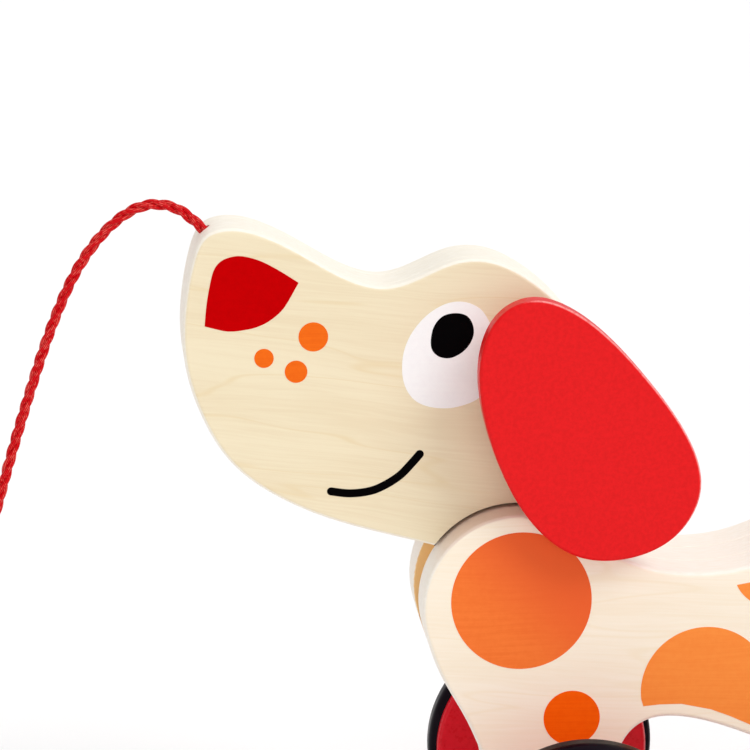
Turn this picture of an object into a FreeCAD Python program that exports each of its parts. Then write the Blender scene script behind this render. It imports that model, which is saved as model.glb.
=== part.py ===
import FreeCAD, Part
# Wooden puppy on wheels, pulled along by a cord.
#
# Frame: millimetres, +Z up, nose towards -X, the puppy's left side towards -Y.
# The origin is on the ground, under the middle of the toy without its cord.
# Outlines are drawn in the toy's middle plane, measured from the front axle.
import math
import os

import Sketcher

from FreeCAD import Placement, Rotation, Vector

os.makedirs("parts", exist_ok=True)
doc = FreeCAD.newDocument("pull_along_puppy")

# ---------------------------------------------------------------- dimensions

DIMENSIONS = {
    "front_axle_x": -20.2,       # front axle, from the origin
    "axle_height": 30.0,         # also the radius of a tyre
    "wheelbase": 88.0,
    "track": 96.0,               # between the middles of the two wheels on an axle
    "torso_ply": 13.0,           # each of the torso's three layers
    "cheek_ply": 4.5,            # outer layers of the head
    "head_core_ply": 12.0,       # middle layer of the head, and its tongue
    "outer_round": 1.1,          # rounding of the edges that a hand touches
    "seam_round": 0.35,          # rounding of the edges at a glued seam
    "neck_dowel_radius": 4.0,
    "neck_dowel_depth": 7.0,     # how far the dowel goes into each side panel
    "running_gap": 0.05,         # radial clearance of a pin that turns in its bore
    "axle_radius": 3.5,
    "axle_gap": 0.1,             # radial clearance of an axle in the torso
    "axle_stand_out": 0.6,       # how far an axle's ends stand out of the wheels
    "axle_end_round": 0.6,
    "flange_radius": 28.0,       # wooden wheel
    "wheel_width": 14.0,
    "groove_radius": 26.0,       # floor of the groove that holds the tyre
    "tyre_width": 8.4,
    "tyre_round": 2.9,
    "wheel_round": 1.1,
    "spacer_radius": 6.0,
    "spacer_gap": 0.5,           # between a spacer and the torso
    "turned_round": 0.8,         # rounding of the spacers and the ear collars
    "ear_thickness": 6.0,
    "ear_round": 0.8,
    "ear_inner_face": 20.8,      # from the middle plane to an ear's inner face
    "ear_dowel_radius": 4.0,
    "ear_dowel_depth": 3.0,      # how far a dowel goes into its ear
    "ear_dowel_start": 0.5,      # from the middle plane to a dowel's inner end
    "ear_collar_radius": 7.5,
    "ear_collar_gap": 0.3,       # between a collar and the head
    "tail_radius": 4.0,          # outside of the spring's coils
    "tail_wall": 0.65,           # gives the tube as much steel as the coiled wire
    "tail_bore_gap": 0.1,
    "tail_root_depth": 9.0,      # spring inside the torso
    "tail_free_length": 30.0,
    "tail_tip_depth": 6.0,       # spring inside the ball
    "tail_ball_radius": 10.0,
    "tail_ball_overlap": 0.8,    # how far the ball reaches down the spring's free length
    "cord_radius": 1.375,
    "cord_hole_radius": 1.6,
    "cord_hole_depth": 10.0,
    "coil_turn_radius": 15.0,    # at the middle of the coil's turns
    "coil_round": 1.2,
    "bead_radius": 9.0,
    "bead_hole_radius": 2.0,
    "knot_radius": 3.3,
    "knot_seat": 0.2,            # how far the knot is drawn into the bead's hole
    "overshoot": 10.0,           # how far a cutting tool reaches past what it cuts
}

sheet = doc.addObject("Spreadsheet::Sheet", "Dimensions")
for row, (alias, value) in enumerate(DIMENSIONS.items(), start=1):
    sheet.set(f"A{row}", alias)
    sheet.set(f"B{row}", str(value))
    sheet.setAlias(f"B{row}", alias)
doc.recompute()


def size(alias):
    """A driving dimension, read from the sheet."""
    return float(getattr(sheet, alias))


# ------------------------------------------------------- points of the design
# (x, z) in the middle plane, from the front axle.

NECK_PIVOT = (-13.5, 55.6)
SHOULDER_RADIUS = 24.2
SHOULDER_FRONT = 195.0           # where the round shoulder ends, degrees
SHOULDER_BACK = 50.0
HEAD_ARC_RADIUS = 25.15          # hollow under the cheeks, round the shoulder
HEAD_ARC_FRONT = 145.0
HEAD_ARC_BACK = 57.0
TONGUE_RADIUS = 13.0
SLOT_RADIUS = 16.0
SLOT_FRONT = 210.0               # ends of the slot that the tongue swings in
SLOT_BACK = 18.0
SLOT_REACH = 60.0                # far enough to leave the slot open in front and above
EAR_PIVOT = (-11.0, 116.0)
EARS = (("left", 0.0), ("right", -110.0))   # how far each ear is drawn swung, degrees
FOOT_RADIUS = 14.8
FRONT_FOOT = (-3.9, 0.5)
REAR_FOOT = (size("wheelbase"), 0.5)
RUMP = (85.5, 55.8)
RUMP_RADIUS = 25.0
RUMP_FRONT = 112.0
RUMP_BACK = -4.0
TAIL_ANGLE = 50.0
CORD_EXIT = (-90.8, 149.8)
CORD_HOLE_ANGLE = 133.0


def around(centre, radius, degrees):
    """The point at that angle and distance from a centre."""
    angle = math.radians(degrees)
    return (centre[0] + radius * math.cos(angle), centre[1] + radius * math.sin(angle))


# ---------------------------------------------------------------- outlines

def spline(points, start_angle=None, end_angle=None):
    """A smooth curve through points, leaving and arriving at those headings."""
    vectors = [Vector(x, z, 0) for x, z in points]
    curve = Part.BSplineCurve()
    if start_angle is None:
        curve.interpolate(Points=vectors)
        return curve
    along = [0.0]
    for before, after in zip(vectors, vectors[1:]):
        along.append(along[-1] + (after - before).Length)
    headings = [
        Vector(math.cos(math.radians(angle)), math.sin(math.radians(angle)), 0)
        for angle in (start_angle, end_angle)
    ]
    curve.interpolate(Points=vectors, Parameters=along, InitialTangent=headings[0],
                      FinalTangent=headings[1], Scale=False)
    return curve


def arc(centre, radius, start, middle, end):
    """The arc round a centre through three angles."""
    points = [around(centre, radius, angle) for angle in (start, middle, end)]
    return Part.Arc(*[Vector(x, z, 0) for x, z in points])


def line(start, end):
    return Part.LineSegment(Vector(*start, 0), Vector(*end, 0))


def torso_outline():
    """Shoulder, back, rump, hind leg, belly, front leg and chest."""
    back = [
        around(NECK_PIVOT, SHOULDER_RADIUS, SHOULDER_BACK),
        (10.8, 68.8), (20.3, 65.2), (31.2, 63.9), (44.2, 65.4), (59.1, 71.4),
        around(RUMP, RUMP_RADIUS, RUMP_FRONT),
    ]
    hind = [
        around(RUMP, RUMP_RADIUS, RUMP_BACK),
        (108.3, 37.4), (103.9, 19.4),
        around(REAR_FOOT, FOOT_RADIUS, 0),
    ]
    belly = [
        around(REAR_FOOT, FOOT_RADIUS, 180),
        (70.6, 6.9), (64.4, 12.4), (54.6, 17.4), (44.2, 21.7), (35.2, 24.9), (26.3, 26.7),
        (19.3, 26.0), (14.8, 23.0), (12.0, 18.2), (10.9, 11.0),
        around(FRONT_FOOT, FOOT_RADIUS, 0),
    ]
    chest = [
        around(FRONT_FOOT, FOOT_RADIUS, 180),
        (-19.4, 7.5), (-22.0, 16.0), (-27.3, 28.2), (-33.3, 39.1),
        around(NECK_PIVOT, SHOULDER_RADIUS, SHOULDER_FRONT),
    ]
    return [
        arc(NECK_PIVOT, SHOULDER_RADIUS, SHOULDER_FRONT, 120, SHOULDER_BACK),
        spline(back, SHOULDER_BACK - 90, RUMP_FRONT - 90),
        arc(RUMP, RUMP_RADIUS, RUMP_FRONT, 50, RUMP_BACK),
        spline(hind, RUMP_BACK - 90, -90),
        arc(REAR_FOOT, FOOT_RADIUS, 0, -90, -180),
        spline(belly, 90, -90),
        arc(FRONT_FOOT, FOOT_RADIUS, 0, -90, -180),
        spline(chest, 90, SHOULDER_FRONT - 90),
    ]


def slot_outline():
    """The space in the torso's middle layer that the head's tongue swings in."""
    front = around(NECK_PIVOT, SLOT_RADIUS, SLOT_FRONT)
    back = around(NECK_PIVOT, SLOT_RADIUS, SLOT_BACK)
    front_end = (front[0] - SLOT_REACH, front[1])
    back_end = around(NECK_PIVOT, SLOT_REACH, SLOT_BACK)
    above = (NECK_PIVOT[0], NECK_PIVOT[1] + SLOT_REACH)
    return [
        arc(NECK_PIVOT, SLOT_RADIUS, SLOT_FRONT, 290, SLOT_BACK + 360),
        line(back, back_end),
        line(back_end, above),
        line(above, front_end),
        line(front_end, front),
    ]


def face_curve():
    """The head's profile: nape, crown, brow, nose, muzzle and jaw."""
    return spline([
        around(NECK_PIVOT, HEAD_ARC_RADIUS, HEAD_ARC_BACK),
        (6.6, 90.0), (8.2, 104.0), (4.8, 119.5), (-3.0, 131.2),
        (-12.0, 138.6), (-20.0, 142.2), (-28.0, 142.4), (-38.0, 138.5),
        (-46.5, 136.2), (-54.5, 138.0), (-65.0, 143.7), (-75.5, 149.2),
        (-83.5, 151.2), (-90.5, 149.5), (-94.0, 142.6), (-95.7, 134.0),
        (-96.4, 124.5), (-95.4, 115.0), (-91.6, 103.6), (-84.4, 92.0),
        (-74.3, 84.0), (-61.0, 77.7), (-47.0, 73.4),
        around(NECK_PIVOT, HEAD_ARC_RADIUS, HEAD_ARC_FRONT),
    ])


def cheek_outline():
    """The profile, closed by the hollow that clears the shoulder."""
    middle = (HEAD_ARC_FRONT + HEAD_ARC_BACK) / 2
    return [
        face_curve(),
        arc(NECK_PIVOT, HEAD_ARC_RADIUS, HEAD_ARC_FRONT, middle, HEAD_ARC_BACK),
    ]


def head_core_outline():
    """The profile, closed by the tongue that goes down into the shoulder."""
    turn = math.degrees(math.acos(TONGUE_RADIUS / HEAD_ARC_RADIUS))
    front = HEAD_ARC_FRONT + turn
    back = HEAD_ARC_BACK - turn
    return [
        face_curve(),
        line(
            around(NECK_PIVOT, HEAD_ARC_RADIUS, HEAD_ARC_FRONT),
            around(NECK_PIVOT, TONGUE_RADIUS, front),
        ),
        arc(NECK_PIVOT, TONGUE_RADIUS, front, 270, back + 360),
        line(
            around(NECK_PIVOT, TONGUE_RADIUS, back),
            around(NECK_PIVOT, HEAD_ARC_RADIUS, HEAD_ARC_BACK),
        ),
    ]


def ear_outline(swing):
    """A long drop, narrow at the top, that leans back, swung about its dowel."""
    points = [
        (-14.1, 134.8), (-20.7, 130.3), (-24.5, 120.1), (-23.7, 107.4), (-19.1, 92.6),
        (-10.9, 78.7), (0.0, 70.6), (12.7, 69.9), (24.2, 75.3), (30.4, 86.9),
        (27.0, 100.4), (17.9, 113.7), (7.5, 125.3), (-3.6, 133.4),
    ]
    turn = Placement(Vector(0, 0, 0), Rotation(Vector(0, 0, 1), swing), Vector(*EAR_PIVOT, 0))
    swung = [turn.multVec(Vector(x, z, 0)) for x, z in points]
    curve = Part.BSplineCurve()
    curve.interpolate(Points=swung, PeriodicFlag=True)
    return [curve]


# ---------------------------------------------------------------- helpers

exported = []


def finish_piece(piece, label):
    """Names a finished sub-part and keeps it for the export."""
    piece.Label = label
    exported.append(piece)
    return piece


def plane_of(body, role):
    return next(plane for plane in body.Origin.OriginFeatures if plane.Role == role)


def new_sketch(body, name, geometry, role="XZ_Plane"):
    sketch = body.newObject("Sketcher::SketchObject", name)
    sketch.AttachmentSupport = (plane_of(body, role), [""])
    sketch.MapMode = "FlatFace"
    sketch.addGeometry(geometry, False)
    return sketch


def outer_edges(feature, offset, hollow_radius=None):
    """Edges of the outline on the face that lies at that Y, but not its hollow's arc."""
    names = []
    for number, edge in enumerate(feature.Shape.Edges, start=1):
        middle = edge.valueAt((edge.FirstParameter + edge.LastParameter) / 2)
        if any(abs(point.y - offset) > 1e-4 for point in (middle, edge.Vertexes[0].Point)):
            continue
        if abs(getattr(edge.Curve, "Radius", 0.0) - (hollow_radius or -1.0)) > 1e-4:
            names.append(f"Edge{number}")
    return names


def round_edges(body, feature, offset, alias, hollow_radius=None):
    """Rounds the edge of one face of a board, all round or up to its hollow."""
    doc.recompute()
    fillet = body.newObject("PartDesign::Fillet", f"{body.Name}_{alias}")
    fillet.Base = (feature, outer_edges(feature, offset, hollow_radius))
    fillet.setExpression("Radius", f"Dimensions.{alias}")
    doc.recompute()
    return fillet


def board(name, outline, thickness, face, roundings, cuts=(), hollow_radius=None):
    """A flat wooden layer: its outline padded towards -Y from the plane at `face`.

    roundings holds the aliases for the +Y edge and for the -Y edge.
    hollow_radius is the radius of an arc in the outline whose edges stay square.
    cuts holds sketches cut through it, or to a depth from the +Y or the -Y face.
    """
    body = doc.addObject("PartDesign::Body", name)
    sketch = new_sketch(body, f"{name}_outline", outline)
    pad = body.newObject("PartDesign::Pad", f"{name}_board")
    pad.Profile = sketch
    pad.setExpression("Length", f"Dimensions.{thickness}")
    doc.recompute()
    last = round_edges(body, pad, 0.0, roundings[0], hollow_radius)
    last = round_edges(body, last, -size(thickness), roundings[1], hollow_radius)
    for number, (geometry, radius, depth, from_back) in enumerate(cuts):
        last = cut_board(body, f"{name}_cut_{number}", geometry, radius, depth,
                         from_back and thickness)
    body.setExpression(".Placement.Base.x", "Dimensions.front_axle_x")
    body.setExpression(".Placement.Base.y", face)
    body.setExpression(".Placement.Base.z", "Dimensions.axle_height")
    doc.recompute()
    return body


def cut_board(body, name, geometry, radius, depth, back_of):
    """Cuts a hole or slot into a board, along Y.

    radius is the expression for a round hole's radius, or None for a shape.
    depth is the expression for a blind hole's depth, or None for a cut right through.
    back_of is the board's thickness when the hole starts from its -Y face.
    """
    before = body.Shape.Volume
    sketch = new_sketch(body, f"{name}_sketch", geometry)
    if back_of:
        sketch.setExpression(".AttachmentOffset.Base.z", f"Dimensions.{back_of}")
    if radius:
        bind_radius(sketch, radius)
    doc.recompute()
    pocket = body.newObject("PartDesign::Pocket", name)
    pocket.Profile = sketch
    pocket.Reversed = not back_of
    if depth:
        pocket.setExpression("Length", depth)
    else:
        pocket.Type = "ThroughAll"
    doc.recompute()
    if body.Shape.Volume > before - 1.0:
        raise RuntimeError(f"{name} cuts nothing")
    return pocket


def bind_radius(sketch, expression):
    """Fixes the centre of a sketch's circle, and binds its radius."""
    circle = sketch.Geometry[0]
    sketch.addConstraint([
        Sketcher.Constraint("Radius", 0, circle.Radius),
        Sketcher.Constraint("DistanceX", -1, 1, 0, 3, circle.Center.x),
        Sketcher.Constraint("DistanceY", -1, 1, 0, 3, circle.Center.y),
    ])
    sketch.setExpression("Constraints[0]", expression)


def hole(centre, radius, depth=None, from_back=False):
    """A round hole through a board, or into it, for board().

    The circle is drawn with any radius, because cut_board() binds it to `radius`.
    """
    circle = Part.Circle(Vector(*centre, 0), Vector(0, 0, 1), 1.0)
    return ([circle], radius, depth, from_back)


def cylinder(name, radius, height, base_z="0"):
    """A cylinder along +Z, with its sizes bound to expressions."""
    piece = doc.addObject("Part::Cylinder", name)
    piece.setExpression("Radius", radius)
    piece.setExpression("Height", height)
    piece.setExpression(".Placement.Base.z", base_z)
    return piece


def cut(name, base, tool):
    piece = doc.addObject("Part::Cut", name)
    piece.Base = base
    piece.Tool = tool
    doc.recompute()
    return piece


def rounded(name, base, radius, keep=lambda edge: True):
    """Rounds the circular edges that keep() accepts."""
    doc.recompute()
    piece = doc.addObject("Part::Fillet", name)
    piece.Base = base
    piece.Edges = [
        (number, radius, radius)
        for number, edge in enumerate(base.Shape.Edges, start=1)
        if isinstance(edge.Curve, Part.Circle) and edge.Closed and keep(edge)
    ]
    doc.recompute()
    return piece


ALONG_Y = Rotation(Vector(1, 0, 0), -90)      # turns +Z into +Y
ALONG_X = Rotation(Vector(0, 1, 0), 90)       # turns +Z into +X


def place(piece, turn, base_x, base_y, base_z):
    """Turns a piece and places it, with its position bound to expressions."""
    piece.Placement = Placement(Vector(0, 0, 0), turn)
    piece.setExpression(".Placement.Base.x", base_x)
    piece.setExpression(".Placement.Base.y", base_y)
    piece.setExpression(".Placement.Base.z", base_z)
    doc.recompute()


def aim(piece, point, degrees):
    """Places a piece made along +Z at a point, pointing at an angle in the middle plane."""
    x, z = from_axle(point)
    place(piece, Rotation(Vector(0, 1, 0), 90 - degrees), x, "0", z)


def dim(alias):
    return f"Dimensions.{alias}"


def from_axle(point):
    """Expressions for a point of the design, in the toy's own frame."""
    return (
        f"{dim('front_axle_x')} + ({point[0]})",
        f"{dim('axle_height')} + ({point[1]})",
    )


# ---------------------------------------------------------------- the torso

REAR_AXLE = (size("wheelbase"), 0.0)
FRONT_AXLE = (0.0, 0.0)
AXLE_HOLE = f"{dim('axle_radius')} + {dim('axle_gap')}"
TURNING_NECK = f"{dim('neck_dowel_radius')} + {dim('running_gap')}"
TURNING_EAR = f"{dim('ear_dowel_radius')} + {dim('running_gap')}"


def torso():
    """Three glued layers; the middle one leaves a slot in the shoulder."""
    axle_holes = [hole(FRONT_AXLE, AXLE_HOLE), hole(REAR_AXLE, AXLE_HOLE)]
    for side, face, rounding in (
        ("left", f"-{dim('torso_ply')} / 2", ("seam_round", "outer_round")),
        ("right", f"{dim('torso_ply')} * 1.5", ("outer_round", "seam_round")),
    ):
        neck_hole = hole(NECK_PIVOT, dim("neck_dowel_radius"), dim("neck_dowel_depth"),
                         from_back=side == "right")
        panel = board(f"torso_panel_{side}", torso_outline(), "torso_ply", face, rounding,
                      [neck_hole, *axle_holes])
        finish_piece(panel, panel.Name)
    core = board("torso_core_board", torso_outline(), "torso_ply",
                 f"{dim('torso_ply')} / 2", ("seam_round", "seam_round"),
                 [(slot_outline(), None, None, False), *axle_holes])
    drill = cylinder("tail_bore", f"{dim('tail_radius')} + {dim('tail_bore_gap')}",
                     f"{dim('tail_root_depth')} + {dim('overshoot')}")
    aim(drill, tail_point(-size("tail_root_depth")), TAIL_ANGLE)
    finish_piece(cut("torso_core", core, drill), "torso_core")
    dowel = cylinder("neck_dowel_body", dim("neck_dowel_radius"),
                     f"{dim('torso_ply')} + 2 * {dim('neck_dowel_depth')}")
    x, z = from_axle(NECK_PIVOT)
    place(dowel, ALONG_Y, x, f"-{dim('torso_ply')} / 2 - {dim('neck_dowel_depth')}", z)
    finish_piece(dowel, "neck_dowel")


# ---------------------------------------------------------------- the tail

def tail_point(distance):
    """A point on the tail's axis, measured outwards from the rump."""
    return around(RUMP, RUMP_RADIUS + distance, TAIL_ANGLE)


def tail():
    """A coil spring, with a wooden ball on its end."""
    length = f"{dim('tail_root_depth')} + {dim('tail_free_length')} + {dim('tail_tip_depth')}"
    outside = cylinder("spring_outside", dim("tail_radius"), length)
    inside = cylinder("spring_inside", f"{dim('tail_radius')} - {dim('tail_wall')}", length)
    spring = cut("tail_spring_body", outside, inside)
    aim(spring, tail_point(-size("tail_root_depth")), TAIL_ANGLE)
    finish_piece(spring, "tail_spring")

    ball = doc.addObject("Part::Sphere", "ball")
    ball.setExpression("Radius", dim("tail_ball_radius"))
    ball.setExpression(".Placement.Base.z",
                       f"{dim('tail_ball_radius')} - {dim('tail_ball_overlap')}")
    bore = cylinder("ball_bore", f"{dim('tail_radius')} + {dim('tail_bore_gap')}",
                    f"{dim('tail_tip_depth')} + {dim('overshoot')}", f"-{dim('overshoot')}")
    bored = cut("tail_ball_body", ball, bore)
    aim(bored, tail_point(size("tail_free_length")), TAIL_ANGLE)
    finish_piece(bored, "tail_ball")


# ---------------------------------------------------------------- the head

def head():
    """Two cheeks glued to a core, whose tongue turns on the neck dowel."""
    ear_hole = hole(EAR_PIVOT, TURNING_EAR)
    for side, face, rounding in (
        ("left", f"-{dim('head_core_ply')} / 2", ("seam_round", "outer_round")),
        ("right", f"{dim('head_core_ply')} / 2 + {dim('cheek_ply')}",
         ("outer_round", "seam_round")),
    ):
        cheek = board(f"head_cheek_{side}", cheek_outline(), "cheek_ply", face, rounding,
                      [ear_hole], HEAD_ARC_RADIUS)
        finish_piece(cheek, cheek.Name)
    core = board("head_core_board", head_core_outline(), "head_core_ply",
                 f"{dim('head_core_ply')} / 2", ("seam_round", "seam_round"),
                 [ear_hole, hole(NECK_PIVOT, TURNING_NECK)])
    drill = cylinder("cord_bore", dim("cord_hole_radius"),
                     f"{dim('cord_hole_depth')} + {dim('overshoot')}")
    inner_end = around(CORD_EXIT, size("cord_hole_depth"), CORD_HOLE_ANGLE + 180)
    aim(drill, inner_end, CORD_HOLE_ANGLE)
    finish_piece(cut("head_core", core, drill), "head_core")


def ears():
    """An ear on each side, glued to a collar and to a dowel that turns in the head."""
    x, z = from_axle(EAR_PIVOT)
    cheek_face = f"({dim('head_core_ply')} / 2 + {dim('cheek_ply')} + {dim('ear_collar_gap')})"
    reach = f"({dim('ear_inner_face')} + {dim('ear_dowel_depth')})"
    for side, swing in EARS:
        left = side == "left"
        dowel_hole = hole(EAR_PIVOT, dim("ear_dowel_radius"), dim("ear_dowel_depth"),
                          from_back=not left)
        face = f"{dim('ear_inner_face')} + {dim('ear_thickness')}"
        ear = board(f"ear_{side}", ear_outline(swing), "ear_thickness",
                    f"-{dim('ear_inner_face')}" if left else face,
                    ("ear_round", "ear_round"), [dowel_hole])
        finish_piece(ear, ear.Name)
        dowel = cylinder(f"ear_dowel_{side}_body", dim("ear_dowel_radius"),
                         f"{reach} - {dim('ear_dowel_start')}")
        place(dowel, ALONG_Y, x, f"-{reach}" if left else dim("ear_dowel_start"), z)
        finish_piece(dowel, f"ear_dowel_{side}")
        ring = turned_ring(f"ear_collar_{side}_body", dim("ear_collar_radius"),
                           dim("ear_dowel_radius"), f"{dim('ear_inner_face')} - {cheek_face}")
        place(ring, ALONG_Y, x, f"-{dim('ear_inner_face')}" if left else cheek_face, z)
        finish_piece(ring, f"ear_collar_{side}")


def turned_ring(name, outside, inside, height):
    """A ring with rounded outer edges."""
    blank = cylinder(f"{name}_blank", outside, height)
    softened = rounded(f"{name}_softened", blank, size("turned_round"))
    return cut(name, softened, cylinder(f"{name}_bore", inside, height))


# ---------------------------------------------------------------- the wheels

def wheel(name):
    """A wooden wheel with a groove for its tyre."""
    disc = cylinder(f"{name}_blank", dim("flange_radius"), dim("wheel_width"))
    blank = rounded(f"{name}_softened", disc, size("wheel_round"))
    groove_base = f"({dim('wheel_width')} - {dim('tyre_width')}) / 2"
    ring = cut(
        f"{name}_groove",
        cylinder(f"{name}_groove_outside", f"{dim('flange_radius')} + {dim('overshoot')}",
                 dim("tyre_width"), groove_base),
        cylinder(f"{name}_groove_inside", dim("groove_radius"), dim("tyre_width"), groove_base),
    )
    grooved = cut(f"{name}_grooved", blank, ring)
    return cut(name, grooved, cylinder(f"{name}_bore", dim("axle_radius"), dim("wheel_width")))


def tyre(name):
    """A rubber ring with a crowned tread."""
    blank = cylinder(f"{name}_blank", dim("axle_height"), dim("tyre_width"))
    crowned = rounded(f"{name}_crowned", blank, size("tyre_round"))
    return cut(name, crowned, cylinder(f"{name}_inside", dim("groove_radius"), dim("tyre_width")))


def wheelset(end, axle_x):
    """An axle with two wheels, their tyres, and a spacer each side of the torso."""

    def mount(piece, label, base_y):
        place(piece, ALONG_Y, axle_x, base_y, dim("axle_height"))
        finish_piece(piece, f"{end}_{label}")

    axle_length = f"({dim('track')} + {dim('wheel_width')} + 2 * {dim('axle_stand_out')})"
    rod = cylinder(f"{end}_axle_body", dim("axle_radius"), axle_length)
    axle = rounded(f"{end}_axle_softened", rod, size("axle_end_round"))
    mount(axle, "axle", f"-{axle_length} / 2")
    spacer_start = f"({dim('torso_ply')} * 1.5 + {dim('spacer_gap')})"
    wheel_start = f"({dim('track')} / 2 - {dim('wheel_width')} / 2)"
    for side, sign in (("left", -1), ("right", 1)):
        centre = f"{sign} * {dim('track')} / 2"
        mount(wheel(f"{end}_wheel_{side}_body"), f"wheel_{side}",
              f"{centre} - {dim('wheel_width')} / 2")
        mount(tyre(f"{end}_tyre_{side}_body"), f"tyre_{side}",
              f"{centre} - {dim('tyre_width')} / 2")
        spacer = turned_ring(f"{end}_spacer_{side}_body", dim("spacer_radius"),
                             dim("axle_radius"), f"{wheel_start} - {spacer_start}")
        mount(spacer, f"spacer_{side}", f"-{wheel_start}" if side == "left" else spacer_start)


# ---------------------------------------------------------------- the cord

# Points that the cord's straight runs join, (x, y, z) from the front axle.
# It springs up out of the muzzle, arches forward and hangs down to the ground.
FLOOR = -size("axle_height")
LYING = FLOOR + size("cord_radius")
CORD_ROUTE = [
    (-87.9, 0.0, 146.5), (-92.6, 0.0, 151.5), (-98.2, 0.0, 155.6), (-106.3, 0.0, 155.9),
    (-114.8, 0.0, 149.9), (-122.4, 0.0, 139.6), (-128.8, 0.0, 125.0), (-134.8, 0.0, 107.0),
    (-140.1, 0.0, 89.5), (-146.3, 0.0, 67.0), (-151.2, 0.0, 42.0), (-154.4, 0.0, 16.0),
    (-156.4, 0.0, -5.0), (-159.2, 0.0, -18.8), (-167.0, 0.0, LYING),
    (-176.5, -1.2, LYING), (-185.0, -0.6, LYING),
]
COIL_CENTRE = (-188.0, 15.4, FLOOR)
SECOND_LAYER = FLOOR + 3 * size("cord_radius")
BEAD_CENTRE = (-158.0, 33.4, FLOOR + size("bead_radius"))
END_ROUTE = [
    (-186.0, 31.8, SECOND_LAYER), (-177.0, 32.0, SECOND_LAYER + 1.0),
    (-169.0, 33.2, BEAD_CENTRE[2] - 0.4), (-158.0, 33.4, BEAD_CENTRE[2]),
    (-146.5, 33.4, BEAD_CENTRE[2] - 0.6),
]
BEND_SHARE = 0.45                # of the shorter run that an arc takes up


def in_frame(point):
    return Vector(point[0] + size("front_axle_x"), point[1], point[2] + size("axle_height"))


def cord_path(route):
    """Straight runs joined by tangent arcs, as large as the runs allow."""
    points = [in_frame(point) for point in route]
    edges = []
    radii = []
    start = points[0]
    for before, corner, after in zip(points, points[1:], points[2:]):
        back = (before - corner).normalize()
        on = (after - corner).normalize()
        half_turn = (math.pi - back.getAngle(on)) / 2
        reach = BEND_SHARE * min((before - corner).Length, (after - corner).Length)
        radius = reach / math.tan(half_turn)
        radii.append(radius)
        towards_centre = (back + on).normalize()
        middle = corner + towards_centre * (radius / math.cos(half_turn) - radius)
        edges.append(Part.LineSegment(start, corner + back * reach).toShape())
        edges.append(Part.Arc(corner + back * reach, middle, corner + on * reach).toShape())
        start = corner + on * reach
    edges.append(Part.LineSegment(start, points[-1]).toShape())
    print("bend radii", [round(radius, 1) for radius in radii])
    return Part.Wire(edges)


def cord_tube(label, route):
    """The cord along a route, as one round tube."""
    path = cord_path(route)
    first = path.Edges[0]
    heading = (first.Vertexes[-1].Point - first.Vertexes[0].Point).normalize()
    section = Part.Circle(first.Vertexes[0].Point, heading, size("cord_radius"))
    tube = path.makePipeShell([Part.Wire(section.toShape())], True, True)
    expected = math.pi * size("cord_radius") ** 2 * path.Length
    print(label, "length", round(path.Length, 1), "volume share", round(tube.Volume / expected, 4))
    piece = doc.addObject("Part::Feature", label)
    piece.Shape = tube
    return finish_piece(piece, label)


def set_down(piece, label, point, turn=Rotation()):
    """Places one of the cord's pieces at a point measured from the front axle."""
    x, z = from_axle((point[0], point[2]))
    place(piece, turn, x, str(point[1]), z)
    finish_piece(piece, label)


def cord():
    """The free cord, its coil on the ground, its bead and the knot that keeps the bead."""
    cord_tube("pull_cord", CORD_ROUTE)
    cord_tube("cord_end", END_ROUTE)
    blank = cylinder("coil_blank", f"{dim('coil_turn_radius')} + 2 * {dim('cord_radius')}",
                     f"4 * {dim('cord_radius')}")
    hollow = cylinder("coil_hollow", f"{dim('coil_turn_radius')} - 2 * {dim('cord_radius')}",
                      f"4 * {dim('cord_radius')}")
    coil = rounded("coil_softened", cut("coil_ring", blank, hollow), size("coil_round"))
    set_down(coil, "cord_coil", COIL_CENTRE)

    ball = doc.addObject("Part::Sphere", "bead_ball")
    ball.setExpression("Radius", dim("bead_radius"))
    bore = cylinder("bead_bore", dim("bead_hole_radius"),
                    f"4 * {dim('bead_radius')}", f"-2 * {dim('bead_radius')}")
    set_down(cut("pull_bead_body", ball, bore), "pull_bead", BEAD_CENTRE, ALONG_X)

    knot = doc.addObject("Part::Sphere", "cord_knot_body")
    knot.setExpression("Radius", dim("knot_radius"))
    knot_reach = size("bead_radius") + size("knot_radius") - size("knot_seat")
    set_down(knot, "cord_knot",
             (BEAD_CENTRE[0] + knot_reach, BEAD_CENTRE[1], BEAD_CENTRE[2]))


# ---------------------------------------------------------------- build and export

def export():
    """Writes every sub-part once all of them are sound."""
    doc.recompute()
    for item in doc.Objects:
        if "Invalid" in item.State or "Error" in item.State:
            raise RuntimeError(f"{item.Name} failed: {item.State}")
    box = FreeCAD.BoundBox()
    for piece in exported:
        if piece.Shape.isNull() or not piece.Shape.isValid():
            raise RuntimeError(f"{piece.Label} has no sound shape")
        if not piece.Label.startswith(("cord", "pull")):
            box.add(piece.Shape.optimalBoundingBox(False))
        print(piece.Label, round(piece.Shape.Volume, 1), len(piece.Shape.Solids))
        piece.Shape.exportStep(f"parts/{piece.Label}.step")
    print("toy box", box)


torso()
tail()
head()
ears()
wheelset("front", dim("front_axle_x"))
wheelset("rear", f"{dim('front_axle_x')} + {dim('wheelbase')}")
cord()
export()
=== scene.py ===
import math

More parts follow.
